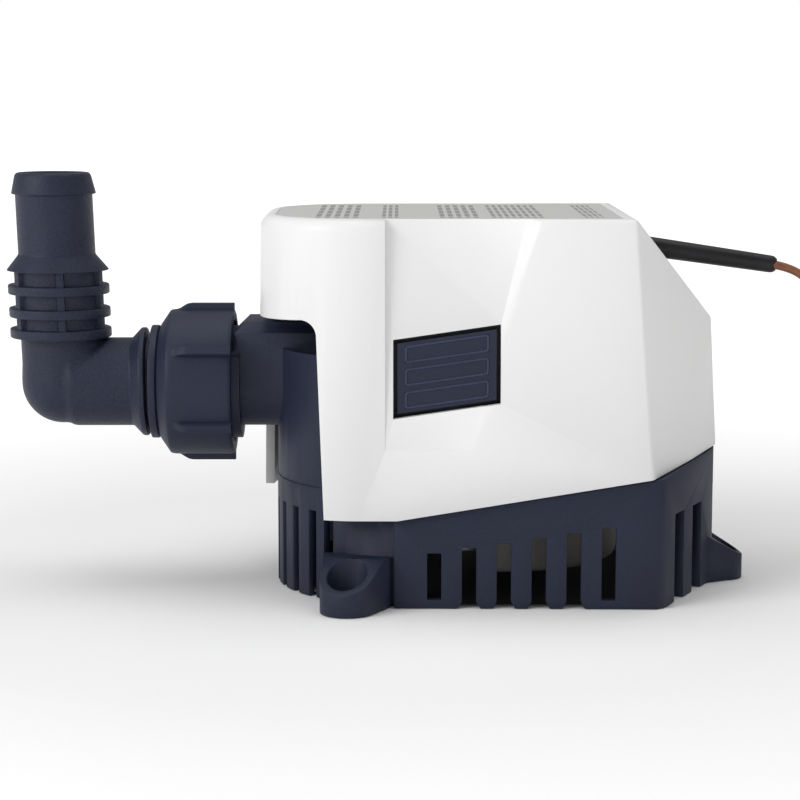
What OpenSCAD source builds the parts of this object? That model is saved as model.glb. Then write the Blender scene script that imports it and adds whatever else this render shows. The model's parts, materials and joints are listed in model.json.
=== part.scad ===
// Automatic bilge pump: strainer base, clip-on pump unit, float switch and hose elbow.
// Millimetres. +Z is up, the outlet points along -X. The origin is midway between
// the two side screw holes, on the floor that the pump stands on.

/* [Shell] */
// Height of the flat top
shell_top = 92; // [90:0.5:96]
// Half width of the shell near its lower edge
shell_half = 38.4; // [38:0.1:40]
// Wall thickness of the shell
shell_wall = 2.2; // [1.6:0.1:2.6]
// Corner radius of the outlet end, seen from above
shell_round = 25; // [22:0.5:28]
// Outlet end of the shell
shell_left = -22.4; // [-23:0.1:-21]
// Height of the level part of the lower edge
edge_z = 21.2; // [20:0.1:22]
// Rise of the sloping part of the lower edge, in degrees
edge_angle = 9.2; // [8:0.1:10]

/* [Strainer base] */
// Outer radius of the round intake end
drum_r = 35.2; // [34:0.1:36]
// Centre of the round intake end
drum_x = 17; // [16:0.5:18]
// Wall thickness of the base
base_wall = 2.3; // [1.8:0.1:2.8]
// Distance from the centre plane to each side screw hole
ear_y = 40.5; // [40:0.1:42]
// Distance from the side screw holes to the nose screw hole
nose_ear_x = 93.2; // [92:0.1:94]
// Radius of the mounting screw holes
screw_hole_r = 2.6; // [2.2:0.1:3]
// Width of the slots in the side walls
slot_w = 3.4; // [2.5:0.1:4]
// Spacing of the slots in the side walls
slot_pitch = 8.25; // [8:0.05:8.5]

/* [Outlet] */
// Height of the outlet axis above the floor
outlet_z = 49.5; // [48:0.5:51]
// Outer radius of the outlet pipe
pipe_r = 10.9; // [10.5:0.1:11.5]
// Radius of the water way
bore_r = 7.6; // [7:0.1:8]
// Outer radius of the union nut
nut_r = 18; // [17.5:0.1:18.5]
// Hose size of the top barb, as an outer radius
small_hose_r = 9.5; // [9:0.1:10]
// Hose size of the rings, as an outer radius
large_hose_r = 12.5; // [12:0.1:13]
// Outward lean of the hose barb, in degrees
barb_lean = 2; // [0:0.5:4]

/* [Motor and impeller] */
// Axis of the motor and impeller
motor_x = 12.4; // [12:0.1:13]
// Radius of the motor shaft
shaft_r = 1.6; // [1.5:0.1:2]
// Outer radius of the motor can
can_r = 15.8; // [15:0.1:16]
// Radius of the impeller
impeller_r = 17; // [15:0.5:17.5]
// Radial clearance of the shaft in its bearings
running = 0.04; // [0.02:0.01:0.08]

/* [Float] */
// Radius of the float
float_r = 29.6; // [28:0.2:30]
// Axis of the float's hinge
float_pin_x = 37.5; // [37:0.5:38]
// Height of the float's hinge
float_pin_z = 33; // [32:0.5:34]

/* [Hidden] */
$fn = 64;
e = 0.01;
big = 200;
navy = [0.13, 0.15, 0.24];
white = [0.94, 0.94, 0.94];
steel = [0.7, 0.71, 0.73];
copper = [0.72, 0.4, 0.2];
black = [0.07, 0.07, 0.08];

slope = tan(edge_angle);
edge_bend_x = 11.7;
edge_round = 1.3;
half_top = shell_half - 2;
nose_half = 4;
shoulder = [68.1, half_top, shell_top];
skirt = [75.5, shell_half + 0.3, 18];
nose_high = [89.4, nose_half, 66.7];
nose_low = [93.3, nose_half, 18];
port_left = -28.3;
port_right = motor_x - 18.5;
port_top = outlet_z + 15.8;
port_back = 13;
cup_r = 18.5;
cup_inner = can_r + 0.3;
cup_floor = 34.2;
cup_top = 84;
deck_z = 29;
deck_t = 2.4;
jacket_r = drum_r - 0.2;
seam_z = 27;
nut_left = -44.5;
nut_right = -28.7;
nut_lip = -49.3;
seat_x = -41;
elbow_x = -71.5;
frame_z = 43;
frame_t = 2.2;
button_x = 23.4;
button_z = 56.4;
button_slope = 8.2;
button_w = 23.4;
button_h = 16.8;
button_face = 35.9;
press = 2.5;
lead_y = 15;
lead_d = 4;
sleeve_start = [69.5, lead_y, 82.96];
sleeve_end = [108, lead_y, 77.4];
gland_tilt = 8;
coil_x = 154;
coil_y = 22;
coil_turn_r = 22;
boss_y = 24.5;
boss_top = 50;
collar_x = -44.9;
duct_x = -13.8;
wire_z = 79.8;

// The free lead: from the end of its sleeve down to the floor and into the coil.
lead_route = [
    [108.05, 15, 77.38], [111, 15, 76.8], [115, 15, 75], [118, 15, 72], [120.5, 15, 67],
    [122, 15, 61], [123, 15, 54], [123.5, 15, 46], [124, 15, 38], [124.3, 14.4, 29],
    [125, 12.2, 20], [126.6, 8.6, 12], [129.2, 4.2, 6.5], [132.9, -0.1, 3.5],
    [137.9, -4, 2.4], [143.5, -6.7, 2.2], [149.8, -8.2, 2.2], [154, -8.4, 2.2]];

// ---------------------------------------------------------------- helpers

// A tube along Z with its foot at z0.
module tube(outer, inner, z0, h) {
    difference() {
        translate([0, 0, z0]) cylinder(r = outer, h = h);
        translate([0, 0, z0 - 1]) cylinder(r = inner, h = h + 2);
    }
}

// A rod along X.
module rod_x(r, x0, x1) {
    translate([x0, 0, 0]) rotate([0, 90, 0]) cylinder(r = r, h = x1 - x0);
}

// Everything below the sloping lower edge of the shell, moved up by lift.
module below_edge(lift) {
    rotate([90, 0, 0]) translate([0, 0, -big / 2]) linear_extrude(big)
        polygon([[-big, -big], [big, -big],
                 [big, edge_z + lift + slope * (big - edge_bend_x)],
                 [edge_bend_x, edge_z + lift], [-big, edge_z + lift]]);
}

// Straight part of the base's outline, drawn in by inset.
module wedge_outline(inset) {
    p = 0.53 * inset;
    polygon([[11 - inset, -36.4 + inset], [73.2 - p, -37.4 + inset],
             [75 - inset, -36.2 + p], [90 - inset, -6 + p], [90.6 - inset, -3],
             [90.6 - inset, 3], [90 - inset, 6 - p], [75 - inset, 36.2 - p],
             [73.2 - p, 37.4 - inset], [11 - inset, 36.4 - inset]]);
}

// A coil spring drawn as a stack of touching rings along Z.
module ring_stack(r, wire, turns) {
    for (i = [0:turns - 1]) translate([0, 0, wire * (0.5 + 0.9 * i)])
        rotate_extrude($fn = 32) translate([r - wire / 2, 0]) circle(wire / 2, $fn = 16);
}

// A pan-head screw along Z with its head's underside at z = 0.
module screw(r, head_r, length) {
    difference() {
        union() {
            translate([0, 0, -length]) cylinder(r = r, h = length + 0.5, $fn = 24);
            cylinder(r1 = head_r, r2 = head_r * 0.7, h = 1.6, $fn = 32);
        }
        for (a = [0, 90]) rotate(a) translate([-head_r * 0.5, -0.3, 0.9]) cube([head_r, 0.6, 2]);
    }
}

// ---------------------------------------------------------------- strainer base

// A screw ear: origin at the hole, root along +Y, top falling outward.
module ear(reach, outer, head_r) {
    difference() {
        union() {
            cylinder(r = outer, h = 12);
            linear_extrude(12)
                polygon([[0.1 - outer, -1], [-8.6, reach], [8.6, reach], [outer - 0.1, -1]]);
        }
        translate([-20, -8, 4.2]) rotate([31, 0, 0]) cube([40, 40, 20]);
        translate([0, 0, -1]) cylinder(r = screw_hole_r, h = 20);
        translate([0, 0, 2.4]) cylinder(r = head_r, h = 20);
    }
}

module base_walls() {
    difference() {
        intersection() {
            union() {
                translate([drum_x, 0, 0]) cylinder(r = drum_r, h = 80, $fn = 128);
                linear_extrude(80) wedge_outline(0);
            }
            union() {
                intersection() {
                    below_edge(-0.4);
                    translate([-big, -big, 0]) cube([2 * big, 2 * big, 60]);
                }
                translate([-big, -big, 0]) cube([big + 8, 2 * big, seam_z]);
            }
        }
        intersection() {
            union() {
                translate([drum_x, 0, 8.5]) cylinder(r = drum_r - base_wall, h = 90, $fn = 128);
                translate([drum_x, 0, -1]) cylinder(r1 = drum_r - 1.1, r2 = drum_r - 4.2,
                                                     h = 9.5 + e, $fn = 128);
                translate([0, 0, -1]) linear_extrude(90) wedge_outline(base_wall);
            }
            translate([-big, -big, -2]) cube([2 * big, 2 * big, big]);
        }
    }
}

// A lip that stands up inside the shell, all round the wedge.
module base_lip() {
    difference() {
        intersection() {
            linear_extrude(80) wedge_outline(1.5);
            below_edge(3.6);
            translate([11, -big, 15]) cube([34, 2 * big, big]);
        }
        translate([0, 0, -1]) linear_extrude(90) wedge_outline(base_wall);
        translate([drum_x, 0, -1]) cylinder(r = drum_r - base_wall, h = 90, $fn = 128);
    }
}

module side_slots() {
    for (side = [-1, 1]) for (i = [0:5]) {
        x = 20.5 + i * slot_pitch;
        closed = (i == 0 || i == 5);
        z0 = closed ? 2 : -1;
        top = 13.2 + slope * 0.93 * i * slot_pitch;
        translate([x - slot_w / 2, side * 37 - 6, z0]) cube([slot_w, 12, top - z0]);
        if (!closed) translate([x, side * 37, -1]) rotate([90, 0, 0])
            linear_extrude(12, center = true)
                polygon([[-slot_w / 2 - 1, 0.9], [slot_w / 2 + 1, 0.9], [slot_w / 2, 2.6],
                         [-slot_w / 2, 2.6]]);
    }
}

module nose_slots() {
    for (side = [-1, 1]) for (y = [27, 15.8]) {
        x = 90 - (y - 6) * 0.497;
        translate([x, side * y, -1]) rotate(side * 28) translate([-6, -3.2, 0])
            cube([12, 6.4, 22.4]);
    }
}

module drum_slots() {
    for (s = [-1, 1]) for (i = [0:3])
        drum_slot(180 + s * (8.8 + 11.4 * i), 2.7);
    for (s = [-1, 1]) drum_slot(180 + s * 51.8, 2.9);
}

module drum_slot(angle, w) {
    translate([drum_x, 0, -1]) rotate(angle) translate([drum_r - 8, -w / 2, 0])
        cube([14, w, 22.2]);
}

module strainer_base() {
    color(navy) {
        difference() {
            union() {
                difference() {
                    union() {
                        base_walls();
                        base_lip();
                    }
                    side_slots();
                    nose_slots();
                    drum_slots();
                }
                for (side = [-1, 1]) translate([0, side * ear_y, 0])
                    rotate(side > 0 ? 197 : -17) ear(9.4, 6.5, 4.75);
                translate([nose_ear_x, 0, 0]) rotate(90) ear(4.6, 5.4, 3.4);
            }
            translate([drum_x, 0, -1]) cylinder(r = drum_r - 3.4, h = 15, $fn = 128);
            translate([0, 0, -1]) linear_extrude(30) wedge_outline(base_wall);
            translate([nose_ear_x, 0, 2.3]) cylinder(r = 4.3, h = 22);
            for (side = [-1, 1]) translate([button_x - 3.3, side * 33.8 - 1.7, 21.5])
                cube([6.6, 3.4, 2.5]);
        }
    }
}

// ---------------------------------------------------------------- shell

// Solid outer form of the shell; inset draws every face in.
module shell_form(inset) {
    r = shell_round - inset;
    cx = shell_left + shell_round;
    q = max(edge_round - inset * 0.3, 0.5);
    hull() {
        for (s = [-1, 1]) {
            translate([cx, s * (shell_half - shell_round), -5]) cylinder(r = r, h = 1, $fn = 96);
            translate([cx + 1, s * (half_top - shell_round), shell_top - inset - 3])
                rotate_extrude($fn = 96) translate([r - 3, 0]) circle(3, $fn = 32);
            for (p = [shoulder, skirt])
                translate([p[0] - inset - q, s * (p[1] - inset - q), p[2] - q
                           - (p[2] > 50 ? inset : 25)]) sphere(q, $fn = 24);
            for (p = [nose_high, nose_low])
                translate([p[0] - inset - q, s * (p[1] - q), p[2] - q
                           - (p[2] > 50 ? inset * 0.6 : 25)]) sphere(q, $fn = 24);
        }
    }
}

// Shallow panel sunk into each flank round the release button, moved in by inset.
module flank_panel(side, inset) {
    mirror([0, side > 0 ? 1 : 0, 0]) intersection() {
        multmatrix([[1, 0, 0.233, -0.233 * shell_top],
                    [0, 1, 0.068, -0.068 * shell_top + inset],
                    [0, 0, 1, 0]])
            linear_extrude(shell_top + 5)
                polygon([[-30, 2.6 - half_top], [41.8, 2.6 - half_top], [46, -half_top],
                         [60, -half_top - 9], [-30, -half_top - 9]]);
        translate([8.9 - inset, -60, 38]) cube([60, 60, 60]);
    }
}

// The parallelogram of the release button, from y = -depth to y = 0.
module button_window(grow, depth) {
    translate([button_x, 0, button_z]) multmatrix([[1, 0, 0, 0], [0, 1, 0, 0],
                                                   [tan(button_slope), 0, 1, 0]])
        translate([-button_w / 2 - grow, -depth, -button_h / 2 - grow])
            cube([button_w + 2 * grow, depth, button_h + 2 * grow]);
}

// The opening for the outlet: through the end wall and the front flank's corner.
module outlet_opening() {
    translate([0, port_back + 1, 0]) rotate([90, 0, 0]) linear_extrude(80) {
        polygon([[-40, 10], [-5.2, 10], [-5.6, edge_z], [-7.3, 64.8], [-40, 64.8]]);
        translate([-11, 64.5]) circle(3.7);
        polygon([[-40, 64], [-11, 64], [-10.7, 68.2], [-24, 67.4], [-40, 67.4]]);
    }
}

module shell_cavity() {
    difference() {
        shell_form(shell_wall);
        for (side = [-1, 1]) flank_panel(side, shell_wall);
    }
}

// Outline of the flat top, drawn in by inset.
module top_outline(inset) {
    r = shell_round - 3.2 - inset;
    cx = shell_left + shell_round + 1;
    for (s = [-1, 1]) translate([cx, s * (half_top - shell_round)]) circle(r, $fn = 96);
    translate([cx - r, shell_round - half_top]) square([r, 2 * (half_top - shell_round)]);
    translate([cx, shell_round - half_top - r])
        square([shoulder[0] - 3 - inset - cx, 2 * (half_top - shell_round + r)]);
}

module top_shell() {
    color(white) {
        difference() {
            shell_form(0);
            for (side = [-1, 1]) flank_panel(side, 0);
            shell_cavity();
            below_edge(0);
            outlet_opening();
            for (side = [0, 1]) mirror([0, side, 0]) translate([0, -30, 0])
                button_window(0.9, 20);
            translate(sleeve_start) rotate([0, gland_tilt, 0]) {
                rod_x(2.75, -6, 18);
                rod_x(3.9, -8, 3);
            }
            translate([0, 0, shell_top - 0.3]) linear_extrude(1) top_outline(0.5);
        }
        for (s = [-1, 1]) intersection() {
            difference() {
                translate([motor_x, s * boss_y, boss_top]) cylinder(r = 3.2, h = 50);
                translate([motor_x, s * boss_y, boss_top - 1]) cylinder(r = 1.2, h = 13);
            }
            shell_form(shell_wall / 2);
        }
    }
}

module top_label() {
    color([0.8, 0.81, 0.79]) translate([0, 0, shell_top - 0.3])
        linear_extrude(0.3) top_outline(0.7);
}

// ---------------------------------------------------------------- pump body

module port_block() {
    difference() {
        union() {
            translate([0, 0, outlet_z]) rod_x(pipe_r, port_left, port_right + 2);
            translate([port_left, -pipe_r, outlet_z])
                cube([port_right + 2 - port_left, pipe_r + port_back, port_top - outlet_z]);
        }
        for (y = [-pipe_r, port_back]) translate([port_left - 5, y, port_top])
            rotate([45, 0, 0]) translate([0, -1.8, -1.8]) cube([60, 3.6, 3.6]);
        translate([port_left, -30, port_top]) rotate([0, 45, 0])
            translate([-2, 0, -2]) cube([4, 60, 4]);
    }
}

module body_screw_bosses(r, h) {
    for (s = [-1, 1]) translate([motor_x, s * boss_y, deck_z]) cylinder(r = r, h = h);
}

// Places its children at the four screws of the motor cover.
module cover_corners() {
    for (a = [45:90:315]) translate([motor_x, 0, 0]) rotate(a) translate([20.4, 0, 0])
        children();
}

module pump_body() {
    color(navy) difference() {
        union() {
            port_block();
            translate([0, 0, outlet_z]) rod_x(14, seat_x, port_left + 1.5);
            intersection() {
                translate([drum_x, 0, 0]) cylinder(r = drum_r - 2.6, h = 60, $fn = 128);
                translate([-40, -40, deck_z]) cube([73, 80, deck_t]);
            }
            intersection() {
                translate([drum_x, 0, 0]) tube(jacket_r, jacket_r - 2.2, seam_z, 32);
                union() {
                    translate([-30, -40, 0]) cube([31, 80, 60]);
                    translate([-30, -40, 0]) cube([40, 40, edge_z + 12]);
                }
            }
            translate([motor_x, 0, 0]) {
                translate([0, 0, deck_z]) cylinder(r = cup_r, h = cup_top - deck_z);
                translate([0, 0, 13.8]) cylinder(r = 21.3, h = 16);
            }
            translate([duct_x, -pipe_r, 13.8]) cube([11.4, 2 * pipe_r, 46]);
            body_screw_bosses(3.2, boss_top - deck_z);
            for (s = [-1, 1]) translate([motor_x - 1, s * 21 - 3.5, deck_z])
                cube([2, 7, boss_top - deck_z - 1]);
            for (s = [-1, 1]) translate([button_x - 3, s * 17.7 - 4, button_z - 3.5])
                cube([6, 8, 7]);
            cover_corners() translate([0, 0, cup_top - 12]) cylinder(r = 2.6, h = 12);
            for (s = [-1, 1]) translate([28, s * 19 - 4, deck_z]) cube([5, 8, 8]);
        }
        translate([0, 0, outlet_z]) rod_x(bore_r, seat_x - 1, duct_x + 4);
        translate([duct_x + 1.6, -bore_r, 16]) cube([6, 2 * bore_r, 40]);
        translate([duct_x + 1.6, -bore_r, 16]) cube([16, 2 * bore_r, 11]);
        translate([motor_x, 0, 0]) {
            translate([0, 0, 12]) cylinder(r = 19.5, h = 15);
            translate([0, 0, cup_floor]) cylinder(r = cup_inner, h = 80);
            translate([0, 0, 20]) cylinder(r = shaft_r + 0.5, h = 40);
            translate([0, 0, 28.6]) cylinder(r = 5.2, h = 10);
            translate([0, 0, cup_top - 1.6]) cylinder(r = cup_inner + 1.2, h = 5);
        }
        translate([motor_x + 10, 0, wire_z]) rod_x(2.5, 0, 15);
        for (s = [-1, 1]) translate([30.2, s * 19, deck_z + 1]) cylinder(r = 1.2, h = 10);
        cover_corners() translate([0, 0, cup_top - 9]) cylinder(r = 1.2, h = 10);
        for (s = [-1, 1]) translate([button_x - 3.6, s * 32.5 - 3.4, deck_z - 1])
            cube([7.2, 6.8, 5]);
        translate([0, 0, -e]) body_screw_bosses(1.3, 50);
    }
}

module intake_plate() {
    color(black) translate([motor_x, 0, 0]) difference() {
        union() {
            translate([0, 0, 11.6]) cylinder(r = 21.3, h = 2.2);
            translate([0, 0, 13]) cylinder(r = 19.4, h = 1.6);
            translate([duct_x - motor_x, -pipe_r, 11.6]) cube([12, 2 * pipe_r, 2.2]);
        }
        translate([0, 0, 10]) cylinder(r = 8, h = 10);
        translate([0, 0, 11]) cylinder(r1 = 10, r2 = 8, h = 1.6);
    }
}

module motor_cover() {
    color(navy) difference() {
        translate([0, 0, cup_top]) union() {
            translate([motor_x, 0, 0]) cylinder(r = cup_r, h = 2.4);
            cover_corners() translate([-4, -2.6, 0]) cube([6.6, 5.2, 2.4]);
        }
        translate([motor_x, 0, cup_top - 1]) cylinder(r = cup_inner - 3, h = 5);
        cover_corners() translate([0, 0, cup_top - 1]) cylinder(r = 1.3, h = 5);
    }
}

module cover_o_ring() {
    color(black) translate([motor_x, 0, cup_top - 0.8])
        rotate_extrude() translate([cup_inner + 0.4, 0]) circle(0.8, $fn = 24);
}

module cover_screws() {
    color(steel) cover_corners() translate([0, 0, cup_top + 2.4]) screw(1.2, 2.2, 9);
}

module deck_screws() {
    color(steel) for (s = [-1, 1]) translate([motor_x, s * boss_y, deck_z])
        rotate([180, 0, 0]) screw(1.2, 2.6, 31);
}

// ---------------------------------------------------------------- motor

module shaft_seal() {
    color(black) translate([motor_x, 0, 0]) difference() {
        translate([0, 0, 28.6]) cylinder(r = 5.2, h = 5.6);
        translate([0, 0, 28]) cylinder(r = shaft_r + running, h = 8);
        translate([0, 0, 27.6]) cylinder(r = 4, h = 2.4);
    }
}

module motor_can() {
    color(steel) translate([motor_x, 0, 0]) difference() {
        union() {
            translate([0, 0, 37.4]) cylinder(r = can_r, h = 37.6);
            translate([0, 0, cup_floor]) cylinder(r = 5, h = 4);
        }
        translate([0, 0, 38.6]) cylinder(r = can_r - 0.9, h = 40);
        translate([0, 0, cup_floor - 1]) cylinder(r = 3, h = 10);
    }
}

module lower_bearing() {
    color([0.75, 0.6, 0.35]) translate([motor_x, 0, 0]) tube(3, shaft_r + running, cup_floor, 4.4);
}

module upper_bearing() {
    color([0.75, 0.6, 0.35]) translate([motor_x, 0, 0]) tube(3, shaft_r + running, 75, 3.6);
}

module magnets() {
    color([0.25, 0.25, 0.27]) translate([motor_x, 0, 0]) for (a = [0, 180]) rotate(a)
        rotate([0, 0, -62]) translate([0, 0, 42]) rotate_extrude(angle = 124)
            translate([10.4, 0]) square([can_r - 0.9 - 10.4, 22]);
}

module motor_end_cap() {
    color([0.16, 0.16, 0.16]) translate([motor_x, 0, 0]) difference() {
        union() {
            translate([0, 0, 75]) cylinder(r = can_r, h = 3.6);
            translate([0, 0, 73]) tube(can_r - 0.9, can_r - 2.4, 0, 2);
            for (a = [0, 180]) rotate(a) translate([5, -2.6, 67]) cube([9, 5.2, 8.2]);
        }
        translate([0, 0, 70]) cylinder(r = 3, h = 20);
        for (a = [0, 180]) rotate(a) translate([4, -1.6, 68.4]) cube([9.1, 3.2, 4.2]);
        for (a = [90, 270]) rotate(a) translate([9, -1.6, 70]) cube([0.8, 3.2, 20]);
    }
}

module brushes() {
    color([0.12, 0.12, 0.12]) translate([motor_x, 0, 0]) for (a = [0, 180]) rotate(a)
        difference() {
            translate([3.6, -1.6, 68.4]) cube([5.4, 3.2, 4.2]);
            cylinder(r = 4.04, h = 90);
        }
}

module brush_springs() {
    color(steel) translate([motor_x, 0, 0]) for (a = [0, 180]) rotate(a)
        translate([9, 0, 70.5]) rotate([0, 90, 0]) ring_stack(1.5, 0.5, 9);
}

module motor_terminals() {
    color([0.8, 0.65, 0.3]) translate([motor_x, 0, 0]) for (a = [90, 270]) rotate(a)
        translate([9, -1.6, 74]) cube([0.8, 3.2, 8]);
}

module motor_shaft() {
    color(steel) translate([motor_x, 0, 14.8]) cylinder(r = shaft_r, h = 65.4);
}

module armature_core() {
    color([0.35, 0.36, 0.38]) translate([motor_x, 0, 0]) difference() {
        translate([0, 0, 44]) cylinder(r = 9.8, h = 18);
        translate([0, 0, 40]) cylinder(r = shaft_r, h = 30);
        for (i = [0:4]) rotate(72 * i) {
            translate([8, -0.6, 43]) cube([3, 1.2, 20]);
            translate([6.4, 0, 43]) cylinder(r = 2.6, h = 20, $fn = 24);
        }
    }
}

module windings() {
    color(copper) translate([motor_x, 0, 0]) {
        for (z = [41.4, 62]) tube(8.8, 3.2, z, 2.6);
        for (i = [0:4]) rotate(72 * i) translate([6.4, 0, 43]) cylinder(r = 2.3, h = 20, $fn = 24);
    }
}

module commutator() {
    color(copper) translate([motor_x, 0, 0]) difference() {
        tube(4, shaft_r, 66.4, 7.2);
        for (i = [0:4]) rotate(72 * i + 36) translate([3, -0.2, 66]) cube([2, 0.4, 8]);
    }
}

module impeller() {
    color([0.85, 0.85, 0.8]) translate([motor_x, 0, 0]) difference() {
        union() {
            translate([0, 0, 24]) cylinder(r = impeller_r, h = 1.8);
            translate([0, 0, 16]) cylinder(r = 4, h = 9);
            for (i = [0:5]) rotate(60 * i) intersection() {
                translate([0, 11, 0]) tube(11.6, 10.2, 16.4, 8);
                translate([0, 0, 16]) cylinder(r = impeller_r - 0.3, h = 9);
                translate([0, -30, 15]) cube([30, 60, 12]);
            }
        }
        translate([0, 0, 10]) cylinder(r = shaft_r, h = 30);
    }
}

module impeller_clip() {
    color(steel) translate([motor_x, 0, 0]) difference() {
        tube(3.2, shaft_r, 15.2, 0.7);
        translate([0, -0.8, 14]) cube([5, 1.6, 3]);
    }
}

// ---------------------------------------------------------------- float switch

module float_frame() {
    color(navy) difference() {
        union() {
            translate([0, 0, frame_z]) linear_extrude(frame_t)
                polygon([[32.5, -31], [64, -31], [72, -22], [72, 22], [64, 31], [32.5, 31]]);
            for (s = [-1, 1]) translate([33.2, s * 32 - 1, 26]) cube([30, 2, frame_z - 25]);
            for (s = [-1, 1]) translate([float_pin_x, s * 32 - 1, float_pin_z])
                rotate([-90, 0, 0]) cylinder(r = 4, h = 2);
            for (s = [-1, 1]) translate([28, s * 19 - 4, deck_z + 8]) cube([7, 8, 2.2]);
            for (s = [-1, 1]) translate([32.8, s * 19 - 4, deck_z + 8])
                cube([2.4, 8, frame_z + frame_t - deck_z - 8]);
        }
        for (s = [-1, 1]) translate([30.2, s * 19, deck_z]) cylinder(r = 1.3, h = 20);
        translate([float_pin_x, -40, float_pin_z]) rotate([-90, 0, 0])
            cylinder(r = 1.5, h = 80);
    }
}

module frame_screws() {
    color(steel) for (s = [-1, 1]) translate([30.2, s * 19, deck_z + 10.2])
        screw(1.2, 2, 7);
}

module float_pin() {
    color(steel) translate([float_pin_x, -32.8, float_pin_z]) rotate([-90, 0, 0])
        cylinder(r = 1.5, h = 65.6);
}

// Half disc with rounded lower rim, flat side towards the pump.
module float_form(inset, z0, z1) {
    intersection() {
        translate([float_pin_x - 0.3, 0, 0]) rotate_extrude($fn = 128)
            polygon([[0, z0 + inset], [float_r - 2 - inset, z0 + inset],
                     [float_r - 0.6 - inset, z0 + 0.6 + inset],
                     [float_r - inset, z0 + 2 + inset],
                     [float_r - inset, z1 - 2 - inset], [float_r - 2 - inset, z1 - inset],
                     [0, z1 - inset]]);
        translate([float_pin_x - 3 + inset, -40, 0]) cube([60, 80, 60]);
    }
}

module float_body() {
    color([0.5, 0.5, 0.49]) difference() {
        union() {
            float_form(0, 6.8, 26.8);
            for (s = [-1, 1]) hull() {
                translate([float_pin_x, s * 24 - 3, float_pin_z]) rotate([-90, 0, 0])
                    cylinder(r = 3.4, h = 6, $fn = 32);
                translate([float_pin_x - 2.4, s * 24 - 3, 25]) cube([9, 6, 1]);
            }
            translate([56, 0, 22]) cylinder(r = 5, h = 4.8);
        }
        difference() {
            float_form(1.6, 5, 26.8);
            translate([56, 0, 20]) cylinder(r = 5, h = 10);
        }
        translate([float_pin_x, -40, float_pin_z]) rotate([-90, 0, 0])
            cylinder(r = 1.5 + running, h = 80);
        translate([56, 0, 21.2]) cylinder(r = 3.1, h = 4.2);
        translate([0, 0, -1]) linear_extrude(8.6) float_recess(0);
    }
}

module float_recess(gap) {
    intersection() {
        translate([float_pin_x - 0.3, 0]) circle(float_r - 3 - gap, $fn = 128);
        translate([float_pin_x - 1.2 + gap, -40]) square([60, 80]);
    }
}

module float_cap() {
    color([0.42, 0.42, 0.42]) translate([0, 0, 6.8]) linear_extrude(0.8) float_recess(0);
}

module float_magnet() {
    color(steel) translate([56, 0, 21.2]) cylinder(r = 3.1, h = 4.2);
}

module switch_board() {
    color([0.1, 0.35, 0.2]) difference() {
        translate([42, -13, frame_z + frame_t + 1]) cube([26, 26, 1.6]);
        for (x = [45, 65]) for (s = [-1, 1]) translate([x, s * 10, 40]) cylinder(r = 1, h = 20);
    }
    color([0.1, 0.35, 0.2]) for (x = [45, 65]) for (s = [-1, 1])
        translate([x, s * 10, frame_z + frame_t]) tube(2, 1, 0, 1);
}

module reed_switch() {
    color([0.6, 0.75, 0.7]) translate([56, -8, frame_z + frame_t + 4.2])
        rotate([-90, 0, 0]) cylinder(r = 1.4, h = 14, $fn = 32);
    color(steel) for (y = [-9.6, 6]) translate([55.6, y, frame_z + frame_t + 2.6])
        cube([0.8, 1.6, 1.9]);
}

module power_switch() {
    color(black) translate([46, -4, frame_z + frame_t + 2.6]) cube([4.6, 10, 9]);
    color(steel) translate([46.8, -4, frame_z + frame_t + 11.6]) cube([1.2, 10, 4]);
}

// Rounds a route by cutting its corners, keeping both ends.
function rounded(p, passes) = passes == 0 ? p : rounded(
    concat([p[0]], [for (i = [0:len(p) - 2]) for (t = [0.25, 0.75]) p[i] + t * (p[i + 1] - p[i])],
           [p[len(p) - 1]]), passes - 1);

module wire(route, r) {
    path = rounded(route, 2);
    sweep(path, [for (q = path) r], 8);
}

// Two wires from the motor's terminals to the board and two from the board to the lead.
module inner_wires() {
    color([0.45, 0.27, 0.17]) for (s = [-1, 1]) {
        wire([[motor_x - 1, s * 10.8, 80.4], [motor_x + 4, s * 11.2, 80.6],
              [motor_x + 9, s * 7, 80.2], [motor_x + 12.5, s * 1.3, wire_z],
              [motor_x + 27, s * 1.3, wire_z], [48, s * 2, 76], [49, s * 7, 60],
              [49, s * 9.5, frame_z + 5]], 0.9);
        wire([[sleeve_start[0] - 0.1, lead_y + s, 82.98], [65, 14 + s, 82], [60, 5 + s, 70],
              [60, 3 + s, frame_z + 5]], 0.9);
    }
}

module wire_grommet() {
    color(black) translate([0, 0, wire_z]) difference() {
        union() {
            rod_x(2.5, motor_x + 16.2, motor_x + 19.4);
            rod_x(3.4, motor_x + 18.6, motor_x + 19.8);
        }
        for (s = [-1, 1]) translate([0, s * 1.3, 0]) rod_x(1, 0, 60);
    }
}

// ---------------------------------------------------------------- release buttons

// Plate with three framed bars, a guide stem and a hook; drawn for the front flank.
module button_shape() {
    difference() {
        union() {
            translate([0, -button_face + 2.4, 0]) button_window(-0.1, 2.4);
            translate([button_x - 3, -button_face + 2.2, 21.8]) cube([6, 1.7, 32]);
            translate([button_x - 3, -button_face + 0.7, 21.8]) cube([6, 2, 2]);
            translate([button_x, -button_face + 2, button_z]) rotate([-90, 0, 0])
                cylinder(r = 3.4, h = 4.2);
        }
        translate([button_x, -button_face + 4, button_z]) rotate([-90, 0, 0])
            cylinder(r = 2.6, h = 4);
        for (i = [-1:1]) translate([0, 0, i * 5.4]) bar_groove();
    }
}

// Outline of one framed bar, cut into the plate.
module bar_groove() {
    translate([0, -button_face + 0.3, 0]) difference() {
        groove_block(19.6, 4);
        groove_block(18.8, 3.2);
    }
}

module groove_block(w, h) {
    translate([button_x, 0, button_z]) multmatrix([[1, 0, 0, 0], [0, 1, 0, 0],
                                                   [tan(button_slope), 0, 1, 0]])
        translate([-w / 2, -1, -h / 2]) cube([w, 1, h]);
}

module button_front() { color(navy) button_shape(); }
module button_back() { color(navy) mirror([0, 1, 0]) button_shape(); }

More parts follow.
